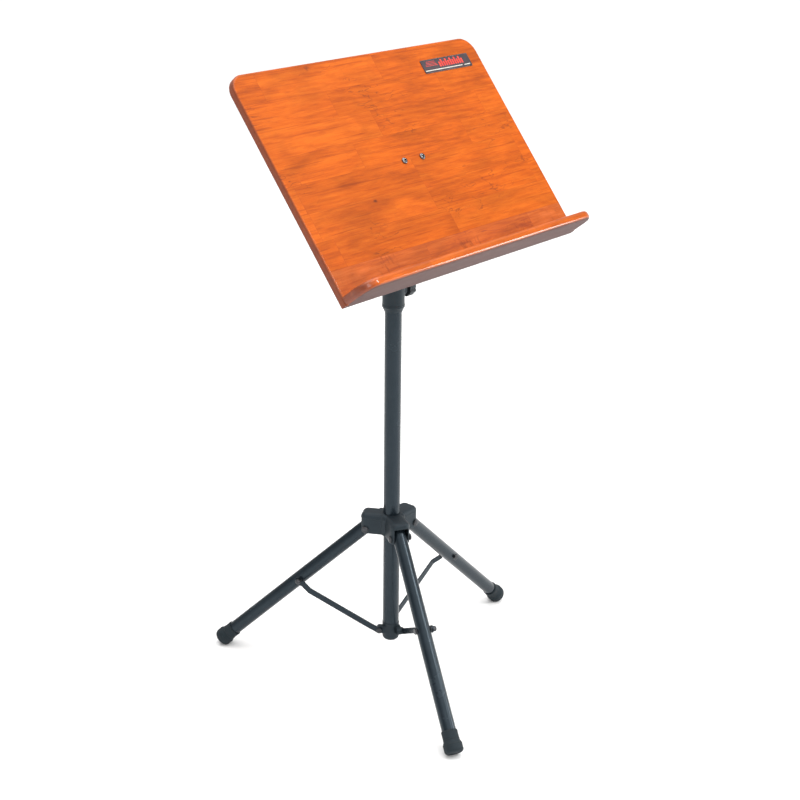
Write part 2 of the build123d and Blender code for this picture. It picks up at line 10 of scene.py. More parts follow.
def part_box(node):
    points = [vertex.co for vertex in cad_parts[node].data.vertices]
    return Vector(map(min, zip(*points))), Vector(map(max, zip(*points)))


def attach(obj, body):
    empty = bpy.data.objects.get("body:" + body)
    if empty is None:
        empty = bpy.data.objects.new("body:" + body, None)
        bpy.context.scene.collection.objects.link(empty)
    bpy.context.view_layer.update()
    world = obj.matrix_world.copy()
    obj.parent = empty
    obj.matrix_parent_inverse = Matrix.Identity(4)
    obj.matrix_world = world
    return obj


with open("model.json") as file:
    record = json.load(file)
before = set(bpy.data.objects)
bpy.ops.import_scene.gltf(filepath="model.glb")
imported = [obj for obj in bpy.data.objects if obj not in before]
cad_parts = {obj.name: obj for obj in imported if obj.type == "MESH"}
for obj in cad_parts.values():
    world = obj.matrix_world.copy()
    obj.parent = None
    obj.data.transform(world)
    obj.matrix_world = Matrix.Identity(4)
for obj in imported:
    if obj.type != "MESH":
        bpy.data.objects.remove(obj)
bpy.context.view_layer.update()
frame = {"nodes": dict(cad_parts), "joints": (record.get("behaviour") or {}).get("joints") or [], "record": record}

mounts = {mount["name"]: mount for mount in frame["record"]["mounts"]}
joints = {joint["name"]: joint for joint in frame["joints"]}

mm = 0.001
rightward = Vector((1, 0, 0))
facing = Vector(mounts["desk_face"]["axis"]).normalized()
slopeUp = facing.cross(rightward)
tiltPoint = Vector(joints["desk_tilt"]["pos_m"])


def placeFrom(origin, across, up, outward):
    place = Matrix((across, up, outward)).transposed().to_4x4()
    place.translation = origin
    return place


deskPlace = placeFrom(tiltPoint, rightward, slopeUp, facing)  # x right, y up the slope, z towards the player
deskTurn = deskPlace.to_euler()


def addNode(tree, kind, settings=None, inputs=None):
    made = tree.nodes.new(kind)
    for key, value in (settings or {}).items():
        setattr(made, key, value)
    for key, value in (inputs or {}).items():
        if isinstance(value, bpy.types.NodeSocket):
            tree.links.new(value, made.inputs[key])
        else:
            made.inputs[key].default_value = value
    return made


def calc(tree, operation, first, second=0.0, third=0.0, clamp=False):
    made = addNode(tree, "ShaderNodeMath", {"operation": operation, "use_clamp": clamp},
                   {0: first, 1: second, 2: third})
    return made.outputs[0]


def mixColours(tree, share, first, second, mode="MIX"):
    made = addNode(tree, "ShaderNodeMix", {"data_type": "RGBA", "blend_type": mode},
                   {0: share, 6: first, 7: second})
    return made.outputs[2]


def spread(tree, value, low, high, toLow=0.0, toHigh=1.0):
    made = addNode(tree, "ShaderNodeMapRange", {"clamp": True},
                   {"Value": value, "From Min": low, "From Max": high, "To Min": toLow, "To Max": toHigh})
    return made.outputs["Result"]


def scaled(tree, vector, factors):
    made = addNode(tree, "ShaderNodeVectorMath", {"operation": "MULTIPLY"}, {0: vector, 1: factors})
    return made.outputs[0]


def noiseAt(tree, vector, size=1.0, detail=2.0, roughness=0.5, distortion=0.0):
    made = addNode(tree, "ShaderNodeTexNoise", None,
                   {"Vector": vector, "Scale": size, "Detail": detail,
                    "Roughness": roughness, "Distortion": distortion})
    return made.outputs[0]


def ramp(tree, value, stops):
    made = addNode(tree, "ShaderNodeValToRGB", None, {"Fac": value})
    elements = made.color_ramp.elements
    for number, (position, colour) in enumerate(stops):
        stop = elements[number] if number < 2 else elements.new(position)
        stop.position = position
        stop.color = (*colour, 1)
    return made.outputs["Color"]


def startGroup(name, takes, gives):
    tree = bpy.data.node_groups.new(name, "ShaderNodeTree")
    for label, kind, value in takes:
        socket = tree.interface.new_socket(label, in_out="INPUT", socket_type="NodeSocket" + kind)
        socket.default_value = value
    for label, kind in gives:
        tree.interface.new_socket(label, in_out="OUTPUT", socket_type="NodeSocket" + kind)
    return tree, tree.nodes.new("NodeGroupInput").outputs, tree.nodes.new("NodeGroupOutput").inputs


def useGroup(tree, group, inputs=None):
    made = tree.nodes.new("ShaderNodeGroup")
    made.node_tree = group
    for key, value in (inputs or {}).items():
        if isinstance(value, bpy.types.NodeSocket):
            tree.links.new(value, made.inputs[key])
        else:
            made.inputs[key].default_value = value
    return made.outputs


def objectPoint(tree):
    return addNode(tree, "ShaderNodeTexCoord").outputs["Object"]


def startMaterial(name, settings):
    material = bpy.data.materials.new(name)
    material.use_nodes = True
    tree = material.node_tree
    shader = tree.nodes["Principled BSDF"]
    for key, value in settings.items():
        shader.inputs[key].default_value = value
    return material, tree, shader


def surfaceBump(tree, shader, height, strength, distance, normal=None):
    made = addNode(tree, "ShaderNodeBump", None,
                   {"Height": height, "Strength": strength, "Distance": distance})
    if normal is not None:
        tree.links.new(normal, made.inputs["Normal"])
    tree.links.new(made.outputs["Normal"], shader.inputs["Normal"])


def makeEdgeGroup():
    tree, take, give = startGroup("edgeRounding", [("Radius", "Float", 0.0006)],
                                  [("Mask", "Float"), ("Normal", "Vector")])
    softened = addNode(tree, "ShaderNodeBevel", {"samples": 6}, {"Radius": take["Radius"]})
    plain = addNode(tree, "ShaderNodeNewGeometry")
    dot = addNode(tree, "ShaderNodeVectorMath", {"operation": "DOT_PRODUCT"},
                  {0: softened.outputs[0], 1: plain.outputs["Normal"]})
    gap = calc(tree, "SUBTRACT", 1.0, dot.outputs["Value"])
    tree.links.new(spread(tree, gap, 0.01, 0.16), give["Mask"])
    tree.links.new(softened.outputs[0], give["Normal"])
    return tree


def makeGrainGroup():
    tree, take, give = startGroup("fineTexture",
                                  [("Grain Size", "Float", 2600.0), ("Patch Size", "Float", 35.0)],
                                  [("Height", "Float"), ("Patch", "Float"), ("Scuff", "Float")])
    point = objectPoint(tree)
    fine = noiseAt(tree, point, take["Grain Size"], 2.0, 0.6)
    tree.links.new(fine, give["Height"])
    tree.links.new(noiseAt(tree, point, take["Patch Size"], 3.0, 0.55), give["Patch"])
    streaks = noiseAt(tree, scaled(tree, point, (420.0, 420.0, 60.0)), 1.0, 3.0, 0.7, 1.2)
    places = noiseAt(tree, point, 22.0, 2.0)
    scuff = calc(tree, "MULTIPLY", spread(tree, streaks, 0.63, 0.74), spread(tree, places, 0.52, 0.66))
    tree.links.new(scuff, give["Scuff"])
    return tree


woodLook = {
    "pieceLength": 0.23,
    "pieceHeight": 0.0405,
    "footStrip": 0.048,
    "footEdge": 0.168,  # from the tilt axis down the slope to the lower edge
    "pieceShift": (1.7, 0.9, 0.6),
    "broadScale": (6.5, 58.0, 58.0),
    "swayScale": (5.0, 17.0, 17.0),
    "ringsPerMetre": 88.0,
    "fibreScale": (34.0, 820.0, 820.0),
    "poreScale": (85.0, 1500.0, 1500.0),
    "cloudScale": (9.0, 21.0, 21.0),
    "grainScale": (24.0, 230.0, 230.0),
    "streakScale": (9.0, 340.0, 340.0),
    "lineScale": (13.0, 52.0, 52.0),
    "linePlaceScale": (11.0, 15.0, 15.0),
    "knotScale": (8.5, 13.5, 13.5),
    # the two mark scales below shape the dark marks inside the painted ledge reflection
    "reflectedMarkScale": (150.0, 52.0, 52.0),
    "reflectedMarkPlaceScale": (9.0, 14.0, 1.0),
    "deepTone": (0.215, 0.030, 0.003),
    "middleTone": (0.445, 0.080, 0.003),
    "lightTone": (0.585, 0.130, 0.008),
    "knotTone": (0.09, 0.020, 0.007),
    # end faces: the darker stain of end grain plus painted shade
    "endGrainShadeTone": (0.15, 0.042, 0.026),
    # underside: painted shade greyed by a painted reflection of the pale floor
    "undersideShadeTone": (0.10, 0.068, 0.066),
    # lowest strip: a painted reflection of the ledge in the board's gloss
    "ledgeReflectionTone": (1.0, 1.16, 4.6),
}


def makeWoodGroup():
    look = woodLook
    tree, take, give = startGroup(
        "stainedPanel",
        [("Seed", "Float", 0.0), ("Ledge Reflection Strength", "Float", 0.0), ("Lacquer", "Float", 0.3)],
        [("Colour", "Color"), ("Height", "Float"), ("Gloss", "Float"), ("Lacquer", "Float")])
    points = addNode(tree, "ShaderNodeTexCoord")
    local = addNode(tree, "ShaderNodeMapping", {"vector_type": "TEXTURE"},
                    {"Vector": points.outputs["Object"], "Location": tiltPoint,
                     "Rotation": deskTurn}).outputs[0]
    normal = addNode(tree, "ShaderNodeMapping", {"vector_type": "TEXTURE"},
                     {"Vector": points.outputs["Normal"], "Rotation": deskTurn}).outputs[0]
    axes = addNode(tree, "ShaderNodeSeparateXYZ", None, {0: local}).outputs
    lean = addNode(tree, "ShaderNodeSeparateXYZ", None, {0: normal}).outputs

    # glued pieces: rows up the slope, each cut to lengths that start at a different place
    fromFoot = calc(tree, "ADD", axes["Y"], look["footEdge"] - look["footStrip"])
    rowPlace = calc(tree, "DIVIDE", fromFoot, look["pieceHeight"])
    row = calc(tree, "MAXIMUM", calc(tree, "FLOOR", rowPlace), -1.0)
    rowSeed = calc(tree, "ADD", row, take["Seed"])
    rowShift = addNode(tree, "ShaderNodeTexWhiteNoise", {"noise_dimensions": "1D"},
                       {"W": rowSeed}).outputs["Value"]
    along = calc(tree, "ADD", calc(tree, "DIVIDE", axes["X"], look["pieceLength"]),
                 calc(tree, "MULTIPLY", rowShift, 3.7))
    pieceNumber = calc(tree, "ADD", calc(tree, "MULTIPLY", rowSeed, 7.31), calc(tree, "FLOOR", along))
    piece = addNode(tree, "ShaderNodeTexWhiteNoise", {"noise_dimensions": "1D"}, {"W": pieceNumber}).outputs
    shift = scaled(tree, piece["Color"], look["pieceShift"])
    timber = addNode(tree, "ShaderNodeVectorMath", {"operation": "ADD"}, {0: local, 1: shift}).outputs[0]

    broad = noiseAt(tree, scaled(tree, timber, look["broadScale"]), 1.0, 4.0, 0.62, 0.9)
    sway = noiseAt(tree, scaled(tree, timber, look["swayScale"]), 1.0, 2.0, 0.5)
    timberAxes = addNode(tree, "ShaderNodeSeparateXYZ", None, {0: timber}).outputs
    turns = calc(tree, "ADD", calc(tree, "MULTIPLY", timberAxes["Y"], look["ringsPerMetre"]),
                 calc(tree, "MULTIPLY", sway, 6.5))
    wave = calc(tree, "SINE", calc(tree, "MULTIPLY", turns, 2 * math.pi))
    rings = calc(tree, "MULTIPLY_ADD", wave, 0.5, 0.5)
    fibre = noiseAt(tree, scaled(tree, timber, look["fibreScale"]), 1.0, 2.0, 0.6)
    pores = spread(tree, noiseAt(tree, scaled(tree, timber, look["poreScale"]), 1.0, 1.0), 0.66, 0.74)
    clouds = noiseAt(tree, scaled(tree, timber, look["cloudScale"]), 1.0, 4.0, 0.6, 0.7)

    grain = noiseAt(tree, scaled(tree, timber, look["grainScale"]), 1.0, 3.0, 0.65, 0.3)
    tone = calc(tree, "MULTIPLY_ADD", broad, 0.34, calc(tree, "MULTIPLY", rings, 0.06))
    tone = calc(tree, "MULTIPLY_ADD", fibre, 0.22, tone)
    tone = calc(tree, "MULTIPLY_ADD", grain, 0.38, tone)
    tone = calc(tree, "MULTIPLY_ADD", calc(tree, "SUBTRACT", piece["Value"], 0.5), 0.11, tone)
    colour = ramp(tree, tone, [(0.22, look["deepTone"]), (0.74, look["lightTone"]),
                               (0.47, look["middleTone"])])
    streaks = noiseAt(tree, scaled(tree, timber, look["streakScale"]), 1.0, 3.0, 0.6, 0.5)
    streaks = spread(tree, streaks, 0.58, 0.70)
    colour = mixColours(tree, calc(tree, "MULTIPLY", streaks, 0.50), colour, (*look["deepTone"], 1))
    shade = spread(tree, clouds, 0.38, 0.68, 1.06, 0.78)
    colour = mixColours(tree, 1.0, colour, shade, "MULTIPLY")
    colour = mixColours(tree, calc(tree, "MULTIPLY", pores, 0.35), colour, (*look["deepTone"], 1))

    # thin wandering lines, in a few places only
    winding = noiseAt(tree, scaled(tree, local, look["lineScale"]), 1.0, 3.0, 0.55, 0.4)
    contour = calc(tree, "ABSOLUTE", calc(tree, "SUBTRACT", winding, 0.5))
    places = spread(tree, noiseAt(tree, scaled(tree, local, look["linePlaceScale"]), 1.0, 1.0), 0.56, 0.64)
    lines = calc(tree, "MULTIPLY", spread(tree, contour, 0.009, 0.003), places)
    colour = mixColours(tree, calc(tree, "MULTIPLY", lines, 0.50), colour, (*look["knotTone"], 1))

    # small knots and mineral flecks
    wander = addNode(tree, "ShaderNodeTexNoise", None,
                     {"Vector": timber, "Scale": 90.0, "Detail": 2.0}).outputs["Color"]
    bent = addNode(tree, "ShaderNodeVectorMath", {"operation": "MULTIPLY_ADD"},
                   {0: wander, 1: (0.011, 0.006, 0.006), 2: timber}).outputs[0]
    cells = addNode(tree, "ShaderNodeTexVoronoi", None,
                    {"Vector": scaled(tree, bent, look["knotScale"]), "Scale": 1.0}).outputs
    chosen = addNode(tree, "ShaderNodeSeparateColor", None, {0: cells["Color"]}).outputs
    kept = spread(tree, chosen[0], 0.48, 0.50)
    heart = calc(tree, "MULTIPLY", spread(tree, cells["Distance"], 0.062, 0.030), kept)
    halo = calc(tree, "MULTIPLY", spread(tree, cells["Distance"], 0.30, 0.05), kept)
    colour = mixColours(tree, calc(tree, "MULTIPLY", halo, 0.26), colour, (*look["deepTone"], 1))
    colour = mixColours(tree, calc(tree, "MULTIPLY", heart, 0.95), colour, (*look["knotTone"], 1))

    # hairline joints
    acrossGap = calc(tree, "PINGPONG", rowPlace, 0.5)
    alongGap = calc(tree, "PINGPONG", along, 0.5)
    rowLine = calc(tree, "MULTIPLY", spread(tree, acrossGap, 0.010, 0.003),
                   calc(tree, "GREATER_THAN", rowPlace, -0.5))
    endLine = spread(tree, alongGap, 0.0022, 0.0008)
    joint = calc(tree, "MAXIMUM", rowLine, endLine)
    colour = mixColours(tree, calc(tree, "MULTIPLY", joint, 0.30), colour, (*look["deepTone"], 1))

    # painted reflection of the ledge: the lowest strip is tinted redder, with a patch of dark cross marks that
    # belong to the painted reflection
    ledgeReflectionMask = calc(tree, "MULTIPLY", calc(tree, "LESS_THAN", rowPlace, 0.0), take["Ledge Reflection Strength"])
    colour = mixColours(tree, ledgeReflectionMask, colour, (*look["ledgeReflectionTone"], 1), "MULTIPLY")
    reflectedMarks = noiseAt(tree, scaled(tree, local, look["reflectedMarkScale"]), 1.0, 3.0, 0.6, 0.6)
    reflectedMarks = spread(tree, reflectedMarks, 0.55, 0.68)
    where = spread(tree, noiseAt(tree, scaled(tree, local, look["reflectedMarkPlaceScale"]), 1.0, 1.0), 0.47, 0.60)
    reflectedMarks = calc(tree, "MULTIPLY", calc(tree, "MULTIPLY", reflectedMarks, where), ledgeReflectionMask)
    colour = mixColours(tree, calc(tree, "MULTIPLY", reflectedMarks, 0.55), colour, (*look["knotTone"], 1))

    # end grain drinks more stain, and the end faces also get painted shade; faces turned down the slope get
    # painted shade greyed by a painted floor reflection
    endGrainAndShade = spread(tree, calc(tree, "ABSOLUTE", lean["X"]), 0.25, 0.80)
    colour = mixColours(tree, calc(tree, "MULTIPLY", endGrainAndShade, 0.78), colour, (*look["endGrainShadeTone"], 1))
    # painted shade and painted floor reflection on faces turned down the slope
    undersideShade = calc(tree, "MULTIPLY", spread(tree, lean["Y"], -0.45, -0.85), calc(tree, "SUBTRACT", 1.0, endGrainAndShade))
    colour = mixColours(tree, calc(tree, "MULTIPLY", undersideShade, 0.96), colour, (*look["undersideShadeTone"], 1))

    relief = calc(tree, "MULTIPLY_ADD", fibre, 0.35, calc(tree, "MULTIPLY", pores, -0.6))
    relief = calc(tree, "MULTIPLY_ADD", joint, -0.7, relief)
    gloss = spread(tree, broad, 0.3, 0.7, 0.44, 0.34)
    gloss = calc(tree, "MULTIPLY_ADD", endGrainAndShade, 0.10, gloss)
    gloss = calc(tree, "MULTIPLY_ADD", undersideShade, 0.30, gloss)
    tree.links.new(colour, give["Colour"])
    tree.links.new(relief, give["Height"])
    tree.links.new(gloss, give["Gloss"])
    lacquered = spread(tree, undersideShade, 0.0, 1.0, 1.0, 0.03)
    tree.links.new(calc(tree, "MULTIPLY", lacquered, take["Lacquer"]), give["Lacquer"])
    return tree


edgeRounding = makeEdgeGroup()
fineTexture = makeGrainGroup()
stainedPanel = makeWoodGroup()
print("shader groups ready")


def makeWood(name, seed, ledgeReflectionStrength, lacquer):
    material, tree, shader = startMaterial(name, {"Coat Roughness": 0.09, "Coat IOR": 1.5,
                                                  "IOR": 1.45, "Specular IOR Level": 0.10})
    panel = useGroup(tree, stainedPanel, {"Seed": seed, "Ledge Reflection Strength": ledgeReflectionStrength, "Lacquer": lacquer})
    tree.links.new(panel["Colour"], shader.inputs["Base Color"])
    tree.links.new(panel["Gloss"], shader.inputs["Roughness"])
    tree.links.new(panel["Lacquer"], shader.inputs["Coat Weight"])
    surfaceBump(tree, shader, panel["Height"], 0.25, 0.0002)
    return material


def makeCoated(name, look):
    # paint, plastic or rubber: a dark body with a fine texture, paler patches and worn edges
    material, tree, shader = startMaterial(name, look["shader"])
    texture = useGroup(tree, fineTexture, {"Grain Size": look["grainSize"], "Patch Size": look["patchSize"]})
    rounding = useGroup(tree, edgeRounding, {"Radius": look["edgeRadius"]})
    patches = spread(tree, texture["Patch"], 0.32, 0.68)
    colour = mixColours(tree, patches, (*look["dark"], 1), (*look["light"], 1))
    scuffs = calc(tree, "MULTIPLY", texture["Scuff"], look["scuff"])
    colour = mixColours(tree, scuffs, colour, (*look["scuffTone"], 1))
    worn = calc(tree, "MULTIPLY", rounding["Mask"], spread(tree, texture["Patch"], 0.40, 0.62))
    colour = mixColours(tree, calc(tree, "MULTIPLY", worn, look["wear"]), colour, (*look["wearTone"], 1))
    tree.links.new(colour, shader.inputs["Base Color"])
    rough = spread(tree, texture["Patch"], 0.25, 0.75, look["roughness"] - look["roughSpread"],
                   look["roughness"] + look["roughSpread"])
    tree.links.new(calc(tree, "MULTIPLY_ADD", texture["Scuff"], 0.03, rough), shader.inputs["Roughness"])
    surfaceBump(tree, shader, texture["Height"], look["bump"], look["bumpDepth"], rounding["Normal"])
    return material


def makeMetal(name, look):
    # bare or plated metal: turned or brushed streaks, dull patches, brighter edges
    material, tree, shader = startMaterial(name, {"Metallic": 1.0})
    texture = useGroup(tree, fineTexture, {"Grain Size": look["grainSize"], "Patch Size": look["patchSize"]})
    rounding = useGroup(tree, edgeRounding, {"Radius": look["edgeRadius"]})
    patches = spread(tree, texture["Patch"], 0.30, 0.70)
    colour = mixColours(tree, patches, (*look["dark"], 1), (*look["light"], 1))
    # on the chrome bolts this edge colour is a painted edge highlight; on the other metals it is edge wear
    worn = calc(tree, "MULTIPLY", rounding["Mask"], look["wear"])
    colour = mixColours(tree, worn, colour, (*look["wearTone"], 1))
    tree.links.new(colour, shader.inputs["Base Color"])
    rough = spread(tree, texture["Patch"], 0.25, 0.75, look["roughness"] * 0.75, look["roughness"] * 1.35)
    tree.links.new(rough, shader.inputs["Roughness"])
    surfaceBump(tree, shader, texture["Height"], look["bump"], 0.00005, rounding["Normal"])
    return material


paintLook = {
    "shader": {"Specular IOR Level": 0.38, "Specular Tint": (0.70, 0.87, 1.0, 1)},
    "dark": (0.006, 0.010, 0.014), "light": (0.011, 0.016, 0.021),
    "scuffTone": (0.06, 0.065, 0.07), "scuff": 0.12, "wearTone": (0.07, 0.075, 0.08), "wear": 0.30,
    "grainSize": 1500.0, "patchSize": 30.0, "edgeRadius": 0.0007, "roughness": 0.25, "roughSpread": 0.04,
    "bump": 0.16, "bumpDepth": 0.00012,
}
plasticLook = {
    "shader": {"Specular IOR Level": 0.32, "Specular Tint": (0.74, 0.89, 1.0, 1)},
    "dark": (0.009, 0.014, 0.018), "light": (0.016, 0.022, 0.027),
    "scuffTone": (0.05, 0.055, 0.06), "scuff": 0.30, "wearTone": (0.05, 0.055, 0.06), "wear": 0.35,
    "grainSize": 2200.0, "patchSize": 45.0, "edgeRadius": 0.0010, "roughness": 0.48, "roughSpread": 0.06,
    "bump": 0.35, "bumpDepth": 0.00012,
}
knobLook = {
    "shader": {"Specular IOR Level": 0.30, "Specular Tint": (0.80, 0.92, 1.0, 1)},
    "dark": (0.006, 0.008, 0.010), "light": (0.011, 0.014, 0.016),
    "scuffTone": (0.05, 0.052, 0.055), "scuff": 0.25, "wearTone": (0.06, 0.062, 0.065), "wear": 0.45,
    "grainSize": 2600.0, "patchSize": 70.0, "edgeRadius": 0.0006, "roughness": 0.42, "roughSpread": 0.06,
    "bump": 0.30, "bumpDepth": 0.00010,
}
rubberLook = {
    "shader": {"Specular IOR Level": 0.26, "Specular Tint": (0.76, 0.90, 1.0, 1)},
    "dark": (0.010, 0.015, 0.018), "light": (0.018, 0.024, 0.028),
    "scuffTone": (0.09, 0.09, 0.085), "scuff": 0.45, "wearTone": (0.07, 0.07, 0.066), "wear": 0.35,
    "grainSize": 1300.0, "patchSize": 60.0, "edgeRadius": 0.0012, "roughness": 0.66, "roughSpread": 0.08,
    "bump": 0.45, "bumpDepth": 0.00018,
}
nylonLook = {
    "shader": {"Specular IOR Level": 0.45, "Subsurface Weight": 0.05}, "dark": (0.52, 0.50, 0.44),
    "light": (0.66, 0.64, 0.58), "scuffTone": (0.35, 0.33, 0.29), "scuff": 0.4,
    "wearTone": (0.72, 0.70, 0.64), "wear": 0.4, "grainSize": 1800.0, "patchSize": 80.0,
    "edgeRadius": 0.0004, "roughness": 0.45, "roughSpread": 0.06, "bump": 0.18, "bumpDepth": 0.00008,
}
badgeLook = {
    "shader": {"Coat Weight": 0.6, "Coat Roughness": 0.12}, "dark": (0.016, 0.011, 0.016),
    "light": (0.045, 0.026, 0.034), "scuffTone": (0.09, 0.07, 0.08), "scuff": 0.2,
    "wearTone": (0.12, 0.11, 0.11), "wear": 0.4, "grainSize": 3000.0, "patchSize": 26.0, "edgeRadius": 0.0003,
    "roughness": 0.34, "roughSpread": 0.05, "bump": 0.10, "bumpDepth": 0.00005,
}
enamelLook = {
    "shader": {"Coat Weight": 0.5, "Coat Roughness": 0.15}, "dark": (0.55, 0.018, 0.010),
    "light": (0.78, 0.040, 0.018), "scuffTone": (0.35, 0.02, 0.02), "scuff": 0.4,
    "wearTone": (0.80, 0.10, 0.06), "wear": 0.3, "grainSize": 3000.0, "patchSize": 60.0, "edgeRadius": 0.0002,
    "roughness": 0.38, "roughSpread": 0.05, "bump": 0.10, "bumpDepth": 0.00004,
}
fastenerLook = {
    "dark": (0.045, 0.047, 0.052), "light": (0.085, 0.088, 0.094), "wearTone": (0.28, 0.28, 0.28),
    "wear": 0.5, "grainSize": 2800.0, "patchSize": 90.0, "edgeRadius": 0.0005, "roughness": 0.36, "bump": 0.25,
}
platedLook = {
    "dark": (0.24, 0.24, 0.23), "light": (0.36, 0.36, 0.34), "wearTone": (0.62, 0.62, 0.60), "wear": 0.5,
    "grainSize": 3200.0, "patchSize": 120.0, "edgeRadius": 0.0004, "roughness": 0.30, "bump": 0.20,
}
# chrome for the bolts: its near-white edge colour is a painted edge highlight on the heads, not wear
chromeGlintLook = {
    "dark": (0.12, 0.12, 0.13), "light": (0.20, 0.20, 0.21), "wearTone": (0.85, 0.85, 0.86), "wear": 0.9,
    "grainSize": 3600.0, "patchSize": 260.0, "edgeRadius": 0.0003, "roughness": 0.13, "bump": 0.06,
}
brassLook = {
    "dark": (0.50, 0.34, 0.11), "light": (0.70, 0.51, 0.20), "wearTone": (0.85, 0.68, 0.34), "wear": 0.5,
    "grainSize": 3000.0, "patchSize": 120.0, "edgeRadius": 0.0004, "roughness": 0.28, "bump": 0.15,
}

# the board carries the painted ledge reflection on its lowest strip; the ledge has none
boardWood = makeWood("boardWood", 3.0, 1.0, 0.30)
ledgeWood = makeWood("ledgeWood", 41.0, 0.0, 0.65)
finishes = {
    "black_steel": makeCoated("powderCoatedSteel", paintLook),
    "black_plastic": makeCoated("texturedPlastic", plasticLook),
    "knob_plastic": makeCoated("satinKnobPlastic", knobLook),
    "foot_rubber": makeCoated("footRubber", rubberLook),
    "nylon": makeCoated("naturalNylon", nylonLook),
    "badge_plate": makeCoated("darkBadgePlate", badgeLook),
    "dark_fastener": makeMetal("blackenedFastener", fastenerLook),
    "plated_steel": makeMetal("zincPlatedSteel", platedLook),
    "chrome_bolt": makeMetal("polishedChromeWithPaintedGlint", chromeGlintLook),
    "brass_insert": makeMetal("turnedBrass", brassLook),
    "stained_wood": boardWood,
}
redEnamel = makeCoated("redEnamel", enamelLook)

for nodeName, node in frame["nodes"].items():
    slotName = node.data.materials[0].name.split(".")[0]
    finish = ledgeWood if nodeName == "desk_ledge" else finishes[slotName]
    for number in range(len(node.material_slots)):
        node.material_slots[number].material = finish
print("materials on", len(frame["nodes"]), "frame nodes")


def finishPiece(name, mesh, body, slotName, finish=None, smooth=True):
    mesh.normal_update()
    data = bpy.data.meshes.new(name)
    bmesh.ops.recalc_face_normals(mesh, faces=mesh.faces)
    mesh.to_mesh(data)
    mesh.free()
    for face in data.polygons:
        face.use_smooth = smooth
    piece = bpy.data.objects.new(name, data)
    bpy.context.scene.collection.objects.link(piece)
    data.materials.append(finish or finishes[slotName])
    if smooth:
        data.set_sharp_from_angle(angle=math.radians(35))
    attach(piece, body)
    return piece


def addTurned(mesh, place, profile, steps=40):
    # profile is a list of (radius, height) from the axis back to the axis
    rings = []
    for radius, height in profile:
        if radius < 1e-7:
            rings.append([mesh.verts.new(place @ Vector((0, 0, height)))])
            continue
        ring = []
        for step in range(steps):
            turn = 2 * math.pi * step / steps
            corner = Vector((radius * math.cos(turn), radius * math.sin(turn), height))
            ring.append(mesh.verts.new(place @ corner))
        rings.append(ring)
    for lower, upper in zip(rings, rings[1:]):
        for step in range(steps):
            following = (step + 1) % steps
            corners = [lower[step % len(lower)], lower[following % len(lower)],
                       upper[following % len(upper)], upper[step % len(upper)]]
            unique = list(dict.fromkeys(corners))
            if len(unique) > 2:
                mesh.faces.new(unique)


def addTube(mesh, points, radii, closed=False, sides=8):
    # a round bead along a line of points; radii has one value for each point
    rings = []
    count = len(points)
    for number, point in enumerate(points):
        before = points[number - 1] if closed or number > 0 else point
        after = points[(number + 1) % count] if closed or number < count - 1 else point
        heading = (after - before).normalized()
        side = heading.orthogonal() if number == 0 else side - heading * side.dot(heading)
        side = side.normalized()
        other = heading.cross(side)
        rings.append([mesh.verts.new(point + (side * math.cos(2 * math.pi * step / sides)
                                              + other * math.sin(2 * math.pi * step / sides)) * radii[number])
                      for step in range(sides)])
    pairs = list(zip(rings, rings[1:])) + ([(rings[-1], rings[0])] if closed else [])
    for lower, upper in pairs:
        for step in range(sides):
            following = (step + 1) % sides
            mesh.faces.new((lower[step], lower[following], upper[following], upper[step]))
    if not closed:
        mesh.faces.new(rings[0])
        mesh.faces.new(list(reversed(rings[-1])))


def addPlate(mesh, place, outline, low, high, inset):
    # a thin plate with its top edge eased by the inset
    centre = sum((Vector(corner) for corner in outline), Vector((0, 0))) / len(outline)
    levels = [(low, 0.0), (high - inset, 0.0), (high, inset)]
    rings = []
    for height, pull in levels:
        ring = []
        for corner in outline:
            away = Vector(corner) - centre
            shrink = 1 - pull / away.length
            flat = centre + away * shrink
            ring.append(mesh.verts.new(place @ Vector((flat.x, flat.y, height))))
        rings.append(ring)
    for lower, upper in zip(rings, rings[1:]):
        for step in range(len(outline)):
            following = (step + 1) % len(outline)
            mesh.faces.new((lower[step], lower[following], upper[following], upper[step]))
    mesh.faces.new(list(reversed(rings[0])))
    mesh.faces.new(rings[-1])


def roundedOutline(centreX, centreY, width, height, radius, steps=5):
    corners = []
    for number, (signX, signY) in enumerate(((1, 1), (-1, 1), (-1, -1), (1, -1))):
        for step in range(steps + 1):
            turn = math.pi / 2 * (number + step / steps)
            corners.append((centreX + signX * (width / 2 - radius) + radius * math.cos(turn),
                            centreY + signY * (height / 2 - radius) + radius * math.sin(turn)))
    return corners


badgeDetail = {
    "rimWidth": 0.55 * mm, "rimInset": 0.8 * mm, "barWidth": 3.2 * mm, "barGap": 1.9 * mm,
    "barHeights": (8.0, 11.5, 8.0, 11.5, 8.0, 11.5, 8.0, 11.5, 8.0, 11.5, 8.0),
    "barStart": -15.0 * mm, "barFoot": -3.4 * mm, "barCorner": 0.7 * mm,
    "lineHeight": 0.22 * mm, "lineEase": 0.08 * mm, "sunk": -0.02 * mm,
    "stackX": -33.5 * mm, "stackFoot": 0.4 * mm, "stackStep": 2.2 * mm, "stackLength": 27 * mm,
    "stackTaper": 2.5 * mm, "stackHeight": 0.6 * mm,
    "footLineY": -7.0 * mm, "footLineHeight": 1.3 * mm,
    "footLines": ((-10 * mm, 84 * mm), (43.5 * mm, 13 * mm)),
}


